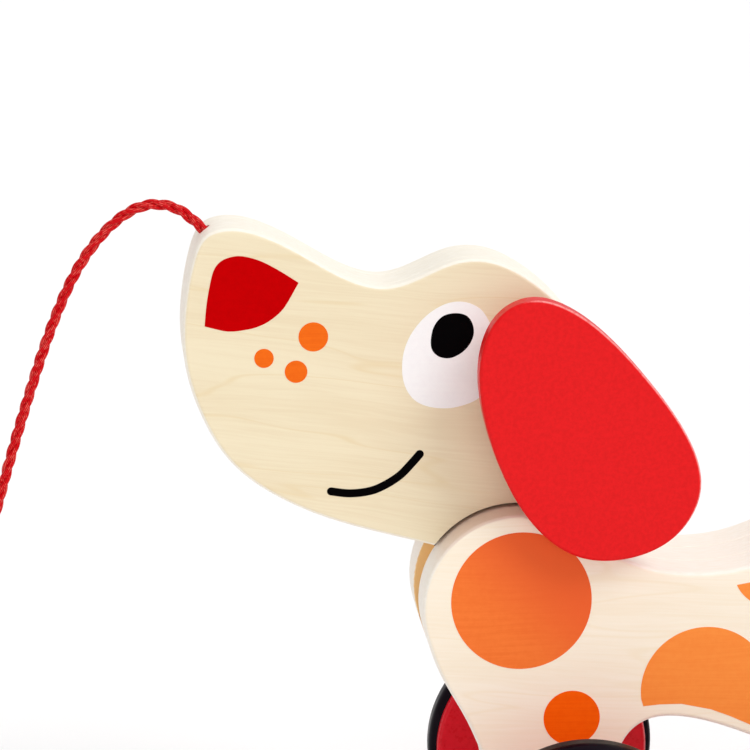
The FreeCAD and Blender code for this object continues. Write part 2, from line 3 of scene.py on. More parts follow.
import bpy
import numpy as np
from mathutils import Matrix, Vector


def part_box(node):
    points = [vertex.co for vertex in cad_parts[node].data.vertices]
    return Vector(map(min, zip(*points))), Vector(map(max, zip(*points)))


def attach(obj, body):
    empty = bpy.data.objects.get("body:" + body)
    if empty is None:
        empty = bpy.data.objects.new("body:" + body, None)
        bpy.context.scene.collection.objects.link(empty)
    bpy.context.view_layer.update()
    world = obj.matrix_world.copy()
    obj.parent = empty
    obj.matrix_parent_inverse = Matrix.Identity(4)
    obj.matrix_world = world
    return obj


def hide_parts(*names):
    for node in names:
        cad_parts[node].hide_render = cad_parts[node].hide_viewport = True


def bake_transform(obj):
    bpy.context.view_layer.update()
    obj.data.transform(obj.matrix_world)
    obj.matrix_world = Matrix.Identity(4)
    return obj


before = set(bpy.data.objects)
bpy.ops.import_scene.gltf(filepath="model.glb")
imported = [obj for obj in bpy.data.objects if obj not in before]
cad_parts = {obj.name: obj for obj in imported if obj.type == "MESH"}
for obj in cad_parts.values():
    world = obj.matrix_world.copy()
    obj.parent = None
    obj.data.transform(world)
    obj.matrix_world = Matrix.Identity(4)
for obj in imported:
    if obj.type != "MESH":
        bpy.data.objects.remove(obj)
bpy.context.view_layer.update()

MM = 0.001


def middle(node):
    """The middle of a CAD node's box."""
    low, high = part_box(node)
    return (low + high) / 2


AXLE = middle("front_axle")
HEAD_FACE = -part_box("head_cheek_left")[0].y      # distance of a painted face from the
TORSO_FACE = -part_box("torso_panel_left")[0].y    # middle plane


def at(x, y, z):
    """A point given in millimetres from the middle of the front axle."""
    return AXLE + Vector((x, y, z)) * MM


# ------------------------------------------------------------------ camera

CAMERA_YAW = 4.701               # degrees to the right of +Y
CAMERA_PITCH = 12.320            # degrees down
CAMERA_DISTANCE = 0.9957
CAMERA_AIM = (-48.08, 0.0, 111.72)
CAMERA_LENS = 191.17
yaw = math.radians(CAMERA_YAW)
pitch = math.radians(CAMERA_PITCH)
forward = Vector((math.sin(yaw) * math.cos(pitch), math.cos(yaw) * math.cos(pitch),
                  -math.sin(pitch)))
camera = bpy.data.objects.new("camera", bpy.data.cameras.new("camera"))
camera.data.lens = CAMERA_LENS
camera.data.sensor_width = 36.0
camera.data.clip_start = 0.05
camera.data.clip_end = 60.0
camera.location = at(*CAMERA_AIM) - forward * CAMERA_DISTANCE
camera.rotation_euler = forward.to_track_quat("-Z", "Y").to_euler()
bpy.context.scene.collection.objects.link(camera)
bpy.context.scene.camera = camera
bpy.context.scene.view_settings.view_transform = "Standard"

# ------------------------------------------------------------------ mesh helpers


def new_mesh(name, vertices, faces, uvs=None, smooth=True):
    """A mesh object from points in the row frame."""
    mesh = bpy.data.meshes.new(name)
    mesh.from_pydata([tuple(v) for v in vertices], [], faces)
    if uvs is not None:
        layer = mesh.uv_layers.new(name="along")
        layer.data.foreach_set("uv", np.asarray(uvs, dtype=np.float32).ravel())
    mesh.update()
    if smooth:
        mesh.shade_smooth()
    obj = bpy.data.objects.new(name, mesh)
    bpy.context.scene.collection.objects.link(obj)
    return obj


def frames_along(points):
    """Tangents, and normals carried along a line of points without twist."""
    points = np.asarray(points, dtype=float)
    tangents = np.gradient(points, axis=0)
    tangents /= np.linalg.norm(tangents, axis=1)[:, None]
    start = np.cross(tangents[0], [0.0, 1.0, 0.0])
    if np.linalg.norm(start) < 0.1:
        start = np.cross(tangents[0], [0.0, 0.0, 1.0])
    normal = start / np.linalg.norm(start)
    normals = []
    for tangent in tangents:
        normal = normal - tangent * np.dot(normal, tangent)
        normal = normal / np.linalg.norm(normal)
        normals.append(normal)
    normals = np.array(normals)
    return tangents, normals, np.cross(tangents, normals)


def lengths_along(points):
    """Distance from the start at each point."""
    steps = np.linalg.norm(np.diff(points, axis=0), axis=1)
    return np.concatenate([[0.0], np.cumsum(steps)])


def evenly(points, step):
    """The same line with evenly spaced points."""
    points = np.asarray(points, dtype=float)
    along = lengths_along(points)
    count = int(round(along[-1] / step)) + 1
    wanted = np.linspace(0.0, along[-1], count)
    return np.stack([np.interp(wanted, along, points[:, axis]) for axis in range(3)], axis=1)


def tube(points, radius, sides):
    """Vertices, faces and UVs of a round tube: u runs along it in millimetres, v round it."""
    points = np.asarray(points, dtype=float)
    _, normals, binormals = frames_along(points)
    along = lengths_along(points) / MM
    radii = np.broadcast_to(radius, (len(points),))
    turn = np.arange(sides) * 2 * math.pi / sides
    rings = (points[:, None, :]
             + radii[:, None, None] * (np.cos(turn)[None, :, None] * normals[:, None, :]
                                       + np.sin(turn)[None, :, None] * binormals[:, None, :]))
    vertices = list(rings.reshape(-1, 3))
    faces = []
    uvs = []
    for ring in range(len(points) - 1):
        for side in range(sides):
            after = (side + 1) % sides
            faces.append((ring * sides + side, ring * sides + after,
                          (ring + 1) * sides + after, (ring + 1) * sides + side))
            uvs += [(along[ring], side / sides), (along[ring], (side + 1) / sides),
                    (along[ring + 1], (side + 1) / sides), (along[ring + 1], side / sides)]
    for ring, order in ((0, -1), (len(points) - 1, 1)):
        loop = [ring * sides + side for side in range(sides)][::order]
        faces.append(tuple(loop))
        uvs += [(along[ring], 0.5)] * sides
    return vertices, faces, uvs


def joined(parts):
    """Several (vertices, faces, uvs) as one."""
    vertices = []
    faces = []
    uvs = []
    for part_vertices, part_faces, part_uvs in parts:
        first = len(vertices)
        vertices += list(part_vertices)
        faces += [tuple(first + index for index in face) for face in part_faces]
        uvs += part_uvs
    return vertices, faces, uvs


# ------------------------------------------------------------------ the pull cord

CORD_RADIUS = 1.375
LYING = CORD_RADIUS - AXLE.z / MM              # height of a cord's middle on the floor
UPPER_TURN = LYING + 2 * CORD_RADIUS
CORD_ROUTE = [
    (-87.9, 0.0, 146.5), (-92.6, 0.0, 151.5), (-98.2, 0.0, 155.6), (-106.3, 0.0, 155.9),
    (-114.8, 0.0, 149.9), (-122.4, 0.0, 139.6), (-128.8, 0.0, 125.0), (-134.8, 0.0, 107.0),
    (-140.1, 0.0, 89.5), (-146.3, 0.0, 67.0), (-151.2, 0.0, 42.0), (-154.4, 0.0, 16.0),
    (-156.4, 0.0, -5.0), (-159.2, 0.0, -18.8), (-167.0, 0.0, LYING),
    (-176.5, -1.2, LYING), (-185.0, -0.6, LYING),
]
COIL_CENTRE = (-188.0, 15.4)
COIL_TURNS = 3.5
COIL_STEPS = 16                  # points of the spline for each turn
OUTER_TURN = 16.4
INNER_TURN = 13.6
BEAD = middle("pull_bead")
KNOT = middle("cord_knot")
BEAD_HEIGHT = (BEAD - AXLE).z / MM
END_ROUTE = [
    (-186.0, 31.8, UPPER_TURN), (-177.0, 32.0, UPPER_TURN + 1.0),
    (-169.0, 33.2, BEAD_HEIGHT - 0.4), (-158.0, 33.4, BEAD_HEIGHT),
    (-146.5, 33.4, BEAD_HEIGHT - 0.6),
]


def ease(value, start, end):
    """0 before start, 1 after end, smooth between."""
    share = min(1.0, max(0.0, (value - start) / (end - start)))
    return share * share * (3 - 2 * share)


def coil_points():
    """Two turns side by side on the floor, and two more on top of them."""
    points = []
    stretch = 1 / math.cos(math.pi / COIL_STEPS)      # the spline runs inside its points
    for step in range(1, int(COIL_TURNS * COIL_STEPS)):
        turned = step * 360 / COIL_STEPS
        inward = ease(turned, 300, 360) - ease(turned, 900, 960)
        lift = ease(turned, 600, 660)
        radius = stretch * (OUTER_TURN + (INNER_TURN - OUTER_TURN) * inward)
        angle = math.radians(-90 - turned)
        points.append((COIL_CENTRE[0] + radius * math.cos(angle),
                       COIL_CENTRE[1] + radius * math.sin(angle),
                       LYING + (UPPER_TURN - LYING) * lift))
    return points


def smooth_line(points, order=3):
    """The points of a NURBS spline with these control points."""
    curve = bpy.data.curves.new("route", "CURVE")
    curve.dimensions = "3D"
    curve.resolution_u = 24
    spline = curve.splines.new("NURBS")
    spline.points.add(len(points) - 1)
    for target, point in zip(spline.points, points):
        target.co = (*at(*point), 1.0)
    spline.order_u = order
    spline.use_endpoint_u = True
    carrier = bpy.data.objects.new("route", curve)
    bpy.context.scene.collection.objects.link(carrier)
    bpy.context.view_layer.update()
    mesh = bpy.data.meshes.new_from_object(carrier)
    line = np.array([tuple(vertex.co) for vertex in mesh.vertices])
    bpy.data.objects.remove(carrier)
    bpy.data.meshes.remove(mesh)
    return line


STRAND_COUNT = 3
STRAND_LAY = 12.4                # length of one full twist
STRAND_RADIUS = CORD_RADIUS / (1 + 2 / math.sqrt(3))
STRAND_OFFSET = CORD_RADIUS - STRAND_RADIUS
STRAND_STEP = 0.5
STRAND_SIDES = 12
STRAND_PLUMP = 1.07              # the strands press into each other


def twisted(line):
    """Strands laid round a line."""
    points = evenly(line, STRAND_STEP * MM)
    _, normals, binormals = frames_along(points)
    turn = lengths_along(points) / MM * 2 * math.pi / STRAND_LAY
    parts = []
    for strand in range(STRAND_COUNT):
        angle = turn + strand * 2 * math.pi / STRAND_COUNT
        centre = points + STRAND_OFFSET * MM * (np.cos(angle)[:, None] * normals
                                                + np.sin(angle)[:, None] * binormals)
        parts.append(tube(centre, STRAND_RADIUS * STRAND_PLUMP * MM, STRAND_SIDES))
    return joined(parts)


cord_line = smooth_line(CORD_ROUTE + coil_points() + END_ROUTE)
cord_mesh = new_mesh("pull_cord_strands", *twisted(cord_line))


KNOT_STEPS = 96
KNOT_LOBE = 1.05                 # from the knot's middle to the middle of its path
KNOT_SWING = 0.75                # how far the path swings in and out of that
KNOT_DEPTH = 0.8                 # and forth and back
KNOT_SCALE = 1.05
KNOT_STRAND_RADIUS = 1.3
KNOT_SIDES = 14


def knot_line():
    """A trefoil, pulled tight."""
    points = []
    for step in range(KNOT_STEPS + 1):
        angle = step / KNOT_STEPS * 2 * math.pi
        across = KNOT_LOBE + KNOT_SWING * math.cos(3 * angle)
        points.append((KNOT_DEPTH * math.sin(3 * angle), across * math.cos(2 * angle),
                       across * math.sin(2 * angle)))
    return np.array(points) * KNOT_SCALE * MM + np.array(KNOT)


# ------------------------------------------------------------------ materials


class Shader:
    """A material that is built node by node."""

    def __init__(self, name, **constants):
        self.material = bpy.data.materials.new(name)
        self.material.use_nodes = True
        self.tree = self.material.node_tree
        self.surface = self.tree.nodes["Principled BSDF"]
        for socket, value in constants.items():
            self.surface.inputs[socket.replace("_", " ")].default_value = value
        self.place = self.tree.nodes.new("ShaderNodeTexCoord").outputs["Object"]

    def link(self, target, value):
        if isinstance(value, (int, float, tuple)):
            target.default_value = value
        else:
            self.tree.links.new(value, target)

    def node(self, kind, inputs, output=0, **settings):
        made = self.tree.nodes.new(kind)
        for setting, value in settings.items():
            setattr(made, setting, value)
        for socket, value in inputs.items():
            self.link(made.inputs[socket], value)
        return made.outputs[output]

    def math(self, operation, first, second=0.0, clamp=False):
        return self.node("ShaderNodeMath", {0: first, 1: second}, operation=operation,
                         use_clamp=clamp)

    def stretched(self, scale, vector=None):
        """Coordinates scaled by so many per millimetre along each axis."""
        return self.node("ShaderNodeMapping", {
            "Vector": self.place if vector is None else vector,
            "Scale": tuple(value / MM for value in scale),
        })

    def noise(self, vector, detail=3.0, roughness=0.5, distortion=0.0):
        return self.node("ShaderNodeTexNoise", {
            "Vector": vector, "Scale": 1.0, "Detail": detail, "Roughness": roughness,
            "Distortion": distortion,
        })

    def ramp(self, value, low, high, to_low=0.0, to_high=1.0):
        return self.node("ShaderNodeMapRange", {
            "Value": value, "From Min": low, "From Max": high, "To Min": to_low,
            "To Max": to_high,
        }, interpolation_type="SMOOTHSTEP")

    def blend(self, share, first, second, mode="MIX"):
        made = self.tree.nodes.new("ShaderNodeMix")
        made.data_type = "RGBA"
        made.blend_type = mode
        self.link(made.inputs[0], share)
        self.link(made.inputs[6], first)
        self.link(made.inputs[7], second)
        return made.outputs[2]

    def finish(self, colour, roughness, height, depth):
        """Colour, roughness, and a bump of that depth in millimetres."""
        self.link(self.surface.inputs["Base Color"], colour)
        self.link(self.surface.inputs["Roughness"], roughness)
        bump = self.node("ShaderNodeBump", {"Height": height, "Distance": depth * MM,
                                            "Strength": 1.0})
        self.link(self.surface.inputs["Normal"], bump)
        return self.material


def colour(red, green, blue):
    """A display colour, 0 to 255, as a linear one."""
    def linear(value):
        value = value / 255
        return value / 12.92 if value <= 0.04045 else ((value + 0.055) / 1.055) ** 2.4
    return (linear(red), linear(green), linear(blue), 1.0)


NECK = middle("neck_dowel")
SLOT_WALL = 6.7                  # the slot's walls lie closer than this to the middle plane
SHOULDER_EDGE = 24.2             # from the neck dowel


def paint_neck_shade(shader, surface, flat, slot_painted_shade, gap_painted_shadow, rim_painted_shade):
    """Painted shade in the slot and on the shoulder's rim, a painted shadow in the gap round
    it.
    """
    offset = shader.node("ShaderNodeVectorMath", {0: shader.place, 1: tuple(NECK)},
                         operation="SUBTRACT")
    parts = shader.tree.nodes.new("ShaderNodeSeparateXYZ")
    shader.link(parts.inputs[0], offset)
    level = shader.node("ShaderNodeVectorMath", {0: offset, 1: (1.0, 0.0, 1.0)},
                        operation="MULTIPLY")
    away = shader.node("ShaderNodeVectorMath", {0: level}, output="Value",
                       operation="LENGTH")
    inside = shader.ramp(shader.math("ABSOLUTE", parts.outputs["Y"]), (SLOT_WALL - 0.1) * MM,
                         (SLOT_WALL + 0.1) * MM, 1.0, 0.0)
    near = shader.ramp(away, (SHOULDER_EDGE + 0.6) * MM, (SHOULDER_EDGE + 3.0) * MM, 1.0, 0.0)
    # painted warm shade on the slot's walls near the neck
    surface = shader.blend(shader.math("MULTIPLY", inside, near), surface, slot_painted_shade)
    # painted shadow: a dark ring on the walls in the gap round the shoulder
    if gap_painted_shadow:
        ring = shader.math("MULTIPLY", shader.ramp(away, (SHOULDER_EDGE - 2.0) * MM,
                                                   (SHOULDER_EDGE - 1.0) * MM), near)
        surface = shader.blend(shader.math("MULTIPLY", ring, inside), surface, gap_painted_shadow)
    # painted shade on the shoulder's rounded rim, stronger higher up
    if rim_painted_shade:
        top = shader.ramp(parts.outputs["Z"], 9 * MM, 22 * MM, 0.0, 0.45)
        rim = shader.math("MULTIPLY", shader.math("SUBTRACT", 1.0, flat),
                          shader.ramp(away, (SHOULDER_EDGE + 1.0) * MM,
                                      (SHOULDER_EDGE + 4.0) * MM, 1.0, 0.0))
        surface = shader.blend(shader.math("MULTIPLY", rim, top), surface, rim_painted_shade)
    return surface


def grain(shader, tilt=0.0):
    """Long fine streaks, wider bands and short pores, along X or tilted down from it."""
    turned = shader.node("ShaderNodeVectorRotate", {
        "Vector": shader.place, "Angle": math.radians(tilt)}, rotation_type="Y_AXIS")
    wander = shader.noise(shader.stretched((0.010, 0.05, 0.05), turned), detail=2.0)
    drift = shader.node("ShaderNodeCombineXYZ", {
        "X": 0.0, "Y": 0.0,
        "Z": shader.math("MULTIPLY", shader.math("SUBTRACT", wander, 0.5), 14 * MM)})
    place = shader.node("ShaderNodeVectorMath", {0: turned, 1: drift}, operation="ADD")
    streaks = shader.noise(shader.stretched((0.05, 1.5, 1.5), place), detail=6.0,
                           roughness=0.62)
    bands = shader.noise(shader.stretched((0.010, 0.10, 0.10), place), detail=3.0)
    pores = shader.noise(shader.stretched((0.30, 5.0, 5.0), place), detail=2.0)
    return streaks, bands, pores, place


def wood(name, light, dark, edge_light, edge_dark, roughness=0.48, slot_painted_shade=None,
         gap_painted_shadow=None, rim_painted_shade=None, tilt=0.0, flame=None):
    """Varnished birch: long grain on the faces, paler sanded edges, painted shade by the neck.
    """
    shader = Shader(name, Specular_IOR_Level=0.22)
    streaks, bands, pores, place = grain(shader, tilt)
    tone = shader.math("ADD", shader.math("MULTIPLY", streaks, 0.55),
                       shader.math("MULTIPLY", bands, 0.45))
    face = shader.blend(shader.ramp(tone, 0.34, 0.64), dark, light)
    pore = shader.ramp(pores, 0.64, 0.76, 0.0, 0.10)
    face = shader.blend(pore, face, dark)
    if flame:
        ring = shader.noise(shader.stretched((0.008, 0.07, 0.07), place), detail=2.0,
                            distortion=0.3)
        away = shader.math("ABSOLUTE", shader.math("SUBTRACT", ring, 0.5))
        line = shader.math("MULTIPLY", shader.ramp(away, 0.0, 0.014, 0.38, 0.0),
                           shader.ramp(streaks, 0.35, 0.6, 0.4, 1.0))
        face = shader.blend(line, face, flame)
    fine = shader.noise(shader.stretched((0.25, 1.3, 1.3)), detail=5.0, roughness=0.6)
    rim = shader.blend(shader.ramp(fine, 0.3, 0.7), edge_dark, edge_light)
    facing = shader.node("ShaderNodeSeparateXYZ", {
        0: shader.node("ShaderNodeTexCoord", {}, output="Normal")}, output="Y")
    flat = shader.ramp(shader.math("ABSOLUTE", facing), 0.80, 0.99)
    surface = shader.blend(flat, rim, face)
    # painted shade round the neck
    if slot_painted_shade:
        surface = paint_neck_shade(shader, surface, flat, slot_painted_shade, gap_painted_shadow, rim_painted_shade)
    return shader.finish(
        surface,
        shader.ramp(streaks, 0.2, 0.8, roughness - 0.05, roughness + 0.07),
        shader.math("ADD", shader.math("MULTIPLY", streaks, 0.7),
                    shader.math("MULTIPLY", pores, 0.3)), 0.02)


def paint(name, main, shade, roughness=0.45, depth=0.012, see_grain=0.5, shine=0.12,
          speck=0.7, upper_painted_shade=None, painted_edge_highlight=None):
    """Printed or lacquered colour over wood.

    The upper colour is painted shade on the side away from the chest. The edge colour is a
    painted highlight on the rounded edge that faces up and back; with it, the side walls
    that face forward and down get painted shade.
    """
    shader = Shader(name, Specular_IOR_Level=shine)
    streaks, _, pores, _ = grain(shader)
    mottle = shader.noise(shader.stretched((speck, speck, speck)), detail=5.0, roughness=0.65)
    tone = shader.math("ADD", shader.math("MULTIPLY", streaks, see_grain),
                       shader.math("MULTIPLY", mottle, 1 - see_grain))
    body = shader.blend(shader.ramp(tone, 0.32, 0.66), shade, main)
    # painted shade: darker toward the side away from the chest
    if upper_painted_shade:
        away = shader.node("ShaderNodeVectorMath", {
            0: shader.node("ShaderNodeVectorMath", {0: shader.place, 1: tuple(NECK)},
                           operation="SUBTRACT"),
            1: (0.7, 0.0, 0.7)}, output="Value", operation="DOT_PRODUCT")
        body = shader.blend(shader.ramp(away, -10 * MM, 14 * MM), body, upper_painted_shade)
    # painted highlight on the rounded edge that faces up and back
    if painted_edge_highlight:
        normal = shader.node("ShaderNodeTexCoord", {}, output="Normal")
        facing = shader.math("ABSOLUTE", shader.node("ShaderNodeSeparateXYZ", {0: normal},
                                                     output="Y"))
        back = shader.node("ShaderNodeVectorMath", {0: normal, 1: (0.9, 0.0, 0.44)},
                           output="Value", operation="DOT_PRODUCT")
        bend = shader.math("MULTIPLY", shader.ramp(facing, 0.12, 0.4),
                           shader.ramp(facing, 0.70, 0.97, 1.0, 0.0))
        edge = shader.math("MULTIPLY", bend, shader.ramp(back, 0.1, 0.45))
        body = shader.blend(shader.math("MULTIPLY", edge, shader.ramp(mottle, 0.3, 0.6, 0.3,
                                                                      0.75)), body, painted_edge_highlight)
        # painted shade on the side walls that face forward and down
        side = shader.ramp(facing, 0.1, 0.9, 1.0, 0.0)
        front = shader.ramp(back, -0.1, 0.5, 0.8, 0.0)
        body = shader.blend(shader.math("MULTIPLY", side, front), body, shade)
    return shader.finish(
        body, shader.ramp(mottle, 0.3, 0.7, roughness - 0.05, roughness + 0.07),
        shader.math("ADD", shader.math("MULTIPLY", streaks, 0.6),
                    shader.math("MULTIPLY", pores, 0.4)), depth)


def rubber(name):
    shader = Shader(name, Specular_IOR_Level=0.07)
    haze = shader.noise(shader.stretched((0.25, 0.25, 0.25)), detail=4.0)
    speck = shader.noise(shader.stretched((4.0, 4.0, 4.0)), detail=2.0)
    return shader.finish(
        shader.blend(shader.ramp(haze, 0.3, 0.7), colour(9, 1, 9), colour(16, 5, 17)),
        shader.ramp(haze, 0.3, 0.7, 0.30, 0.40), speck, 0.01)


def yarn(name, main, shade, painted_glint):
    """Cotton strand: fine yarns that wind round it the other way, painted glints on some."""
    shader = Shader(name, Specular_IOR_Level=0.1)
    place = shader.node("ShaderNodeSeparateXYZ", {
        0: shader.node("ShaderNodeUVMap", {}, uv_map="along")}, output="X")
    round_it = shader.node("ShaderNodeSeparateXYZ", {
        0: shader.node("ShaderNodeUVMap", {}, uv_map="along")}, output="Y")
    phase = shader.math("ADD", shader.math("MULTIPLY", place, 0.35),
                        shader.math("MULTIPLY", round_it, 9.0))
    wave = shader.math("SINE", shader.math("MULTIPLY", phase, 2 * math.pi))
    ridge = shader.ramp(wave, -1.0, 0.6)
    fuzz = shader.noise(shader.stretched((3.0, 3.0, 3.0)), detail=4.0, roughness=0.7)
    # painted shade in the grooves between the fine yarns, and random yarn-to-yarn tone
    tone = shader.math("ADD", shader.math("MULTIPLY", ridge, 0.35),
                       shader.math("MULTIPLY", fuzz, 0.8))
    glint = shader.noise(shader.stretched((0.9, 0.9, 0.9)), detail=3.0, roughness=0.6)
    # painted glints on the yarn ridges
    glint_share = shader.math("MULTIPLY", shader.ramp(ridge, 0.4, 0.9), shader.ramp(glint, 0.47, 0.60))
    body = shader.blend(shader.ramp(tone, 0.25, 0.75), shade, main)
    return shader.finish(
        shader.blend(shader.math("MULTIPLY", glint_share, 0.6), body, painted_glint),
        shader.ramp(fuzz, 0.3, 0.7, 0.34, 0.5),
        shader.math("ADD", shader.math("MULTIPLY", ridge, 0.6),
                    shader.math("MULTIPLY", fuzz, 0.4)), 0.05)


def steel(name):
    shader = Shader(name, Metallic=1.0)
    drawn = shader.noise(shader.stretched((2.5, 2.5, 2.5)), detail=4.0)
    return shader.finish(
        shader.blend(shader.ramp(drawn, 0.3, 0.7), colour(176, 178, 182),
                     colour(205, 207, 210)),
        shader.ramp(drawn, 0.3, 0.7, 0.2, 0.34), drawn, 0.01)


# painted shade: the warm slot and the dark ring in the gap round the shoulder
HEAD_BIRCH = wood("birch_head", colour(240, 226, 194), colour(234, 217, 183),
                  colour(249, 243, 231), colour(244, 236, 221),
                  slot_painted_shade=colour(246, 202, 138), gap_painted_shadow=colour(62, 22, 12),
                  tilt=-7.0, flame=colour(226, 200, 148))
# paler than the head's birch: painted light for the brighter light on the torso; painted shade
# in the warm slot and on the shoulder rim
TORSO_BIRCH = wood("birch_torso", colour(253, 242, 223), colour(249, 235, 211),
                   colour(252, 246, 236), colour(248, 240, 227),
                   slot_painted_shade=colour(250, 210, 148), rim_painted_shade=colour(210, 150, 112),
                   tilt=-3.0, flame=colour(243, 224, 188))
DOWEL = wood("birch_dowel", colour(232, 210, 170), colour(206, 178, 134),
             colour(236, 216, 180), colour(210, 184, 142))
# painted highlight: the pale edge colour of the ear and wheel lacquer; their forward side
# walls get painted shade
EAR_RED = paint("ear_lacquer", colour(230, 15, 20), colour(219, 8, 13), see_grain=0.1,
                roughness=0.36, shine=0.16, speck=0.9, painted_edge_highlight=colour(250, 176, 172))
WHEEL_RED = paint("wheel_lacquer", colour(222, 13, 38), colour(210, 8, 29), see_grain=0.2,
                  roughness=0.3, shine=0.2, painted_edge_highlight=colour(244, 120, 130))
BEAD_RED = paint("bead_lacquer", colour(206, 12, 24), colour(190, 8, 18), see_grain=0.2,
                 roughness=0.26, shine=0.3)
NOSE_RED = paint("nose_print", colour(196, 0, 4), colour(188, 0, 3), see_grain=0.25,
                 roughness=0.7, shine=0.01)
MUZZLE_ORANGE = paint("muzzle_print", colour(243, 110, 22), colour(236, 100, 16),
                      see_grain=0.6, shine=0.06)
# its last colour is painted shade on the spot's upper back side, under the head
SHOULDER_ORANGE = paint("shoulder_print", colour(247, 125, 54), colour(241, 115, 46),
                        see_grain=0.6, shine=0.08, upper_painted_shade=colour(236, 98, 46))
LEG_ORANGE = paint("leg_print", colour(252, 100, 8), colour(246, 90, 4), see_grain=0.6,
                   shine=0.04)
BELLY_ORANGE = paint("belly_print", colour(253, 148, 66), colour(249, 138, 58),
                     see_grain=0.6, shine=0.08)
EYE_WHITE = paint("eye_print_white", colour(250, 249, 248), colour(247, 245, 245),
                  see_grain=0.4)
BLACK = paint("eye_print_black", colour(5, 3, 4), colour(2, 1, 2), see_grain=0.3,
              roughness=0.7, shine=0.02)
RUBBER = rubber("tyre_rubber")
# its last colour is painted glints on the yarn ridges
CORD_RED = yarn("cord_yarn", colour(216, 0, 14), colour(158, 0, 6), colour(250, 112, 100))
STEEL = steel("spring_steel")


def dress(material, *nodes):
    """Gives CAD nodes their finish."""
    for node in nodes:
        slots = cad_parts[node].data.materials
        if not slots:
            slots.append(material)
        for index in range(len(slots)):
            slots[index] = material


SIDES = ("left", "right")
ENDS = ("front", "rear")
dress(TORSO_BIRCH, "torso_core", *(f"torso_panel_{side}" for side in SIDES))
dress(HEAD_BIRCH, "head_core", *(f"head_cheek_{side}" for side in SIDES))
dress(DOWEL, "neck_dowel", *(f"ear_dowel_{side}" for side in SIDES),
      *(f"ear_collar_{side}" for side in SIDES), *(f"{end}_axle" for end in ENDS),
      *(f"{end}_spacer_{side}" for end in ENDS for side in SIDES))
dress(EAR_RED, *(f"ear_{side}" for side in SIDES))
dress(WHEEL_RED, *(f"{end}_wheel_{side}" for end in ENDS for side in SIDES))
dress(RUBBER, *(f"{end}_tyre_{side}" for end in ENDS for side in SIDES))
dress(BEAD_RED, "tail_ball", "pull_bead")


# ------------------------------------------------------------------ the cord's pieces

def piece(obj, material, body=None):
    obj.data.materials.append(material)
    if body:
        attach(obj, body)
    return obj


piece(cord_mesh, CORD_RED)
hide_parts("pull_cord", "cord_coil", "cord_end")
knot = new_mesh("cord_knot_strands", *tube(knot_line(), KNOT_STRAND_RADIUS * MM,
                                           KNOT_SIDES))
piece(knot, CORD_RED, "torso")
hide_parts("cord_knot")
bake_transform(cord_mesh)
cord_length = lengths_along(cord_line)[-1]
print("cord length", round(cord_length, 4))


# ------------------------------------------------------------------ tail spring

TAIL_ROOT = 9.0                  # coils inside the torso, along the axis
TAIL_FREE = 30.0
TAIL_TIP = 5.6                   # coils inside the ball
WIRE_RADIUS = 0.6
WIRE_PITCH = 1.4
WIRE_SIDES = 10
TURN_STEPS = 28                  # points of the wire in one turn
SPRING_RADIUS = 4.0              # outside of the coils
TAIL_ANGLE = 50.0                # above the horizontal, degrees
tail_axis = Vector((math.cos(math.radians(TAIL_ANGLE)), 0.0,
                    math.sin(math.radians(TAIL_ANGLE))))


def spring_line():
    """A close helix along the tail's axis."""
    start = middle("tail_spring") - tail_axis * (TAIL_ROOT + TAIL_FREE + TAIL_TIP) / 2 * MM
    length = TAIL_ROOT + TAIL_FREE + TAIL_TIP - 2 * WIRE_RADIUS
    across = Vector((0.0, 1.0, 0.0))
    other = tail_axis.cross(across)
    radius = SPRING_RADIUS - WIRE_RADIUS
    turns = length / WIRE_PITCH
    steps = int(turns * TURN_STEPS)
    points = []
    for step in range(steps + 1):
        share = step / steps
        angle = share * turns * 2 * math.pi
        points.append(start + tail_axis * (WIRE_RADIUS + share * length) * MM
                      + (across * math.cos(angle) + other * math.sin(angle)) * radius * MM)
    return np.array([tuple(point) for point in points])


spring = piece(new_mesh("tail_spring_wire", *tube(spring_line(), WIRE_RADIUS * MM,
                                                WIRE_SIDES)),
               STEEL)
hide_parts("tail_spring")
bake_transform(spring)


# ------------------------------------------------------------------ printed shapes

FILM = 0.05                      # thickness of the paint film


def circle(x, z, radius, count=96, start=0, end=360):
    """Points of a circle, or of an arc between two angles in degrees."""
    angles = [math.radians(start + (end - start) * k / count) for k in range(count)]
    return [(x + radius * math.cos(angle), z + radius * math.sin(angle)) for angle in angles]


def closed_line(points, steps=10):
    """A smooth closed line through points (Catmull-Rom)."""
    result = []
    count = len(points)
    for index in range(count):
        before, first, second, after = (np.array(points[(index + k - 1) % count])
                                        for k in range(4))
        for step in range(steps):
            t = step / steps
            result.append(tuple(0.5 * (2 * first + (second - before) * t
                                       + (2 * before - 5 * first + 4 * second - after) * t * t
                                       + (3 * first - before - 3 * second + after) * t ** 3)))
    return result


def printed(name, outlines, face, side, body, material, lift=0.0):
    """Thin filled shapes on one face of the toy, as one piece."""
    sign = -1 if side == "left" else 1
    inner = sign * (face / MM + lift)
    outer = inner + sign * FILM
    vertices = []
    faces = []
    for outline in outlines:
        first = len(vertices)
        count = len(outline)
        vertices += [at(x, inner, z) for x, z in outline]
        vertices += [at(x, outer, z) for x, z in outline]
        faces.append(tuple(first + k for k in range(count))[::-sign])
        faces.append(tuple(first + count + k for k in range(count))[::sign])
        for k in range(count):
            after = (k + 1) % count
            wall = (first + k, first + after, first + count + after, first + count + k)
            faces.append(wall[::-sign])
    obj = new_mesh(f"{name}_{side}", vertices, faces, smooth=False)
    return piece(obj, material, body)


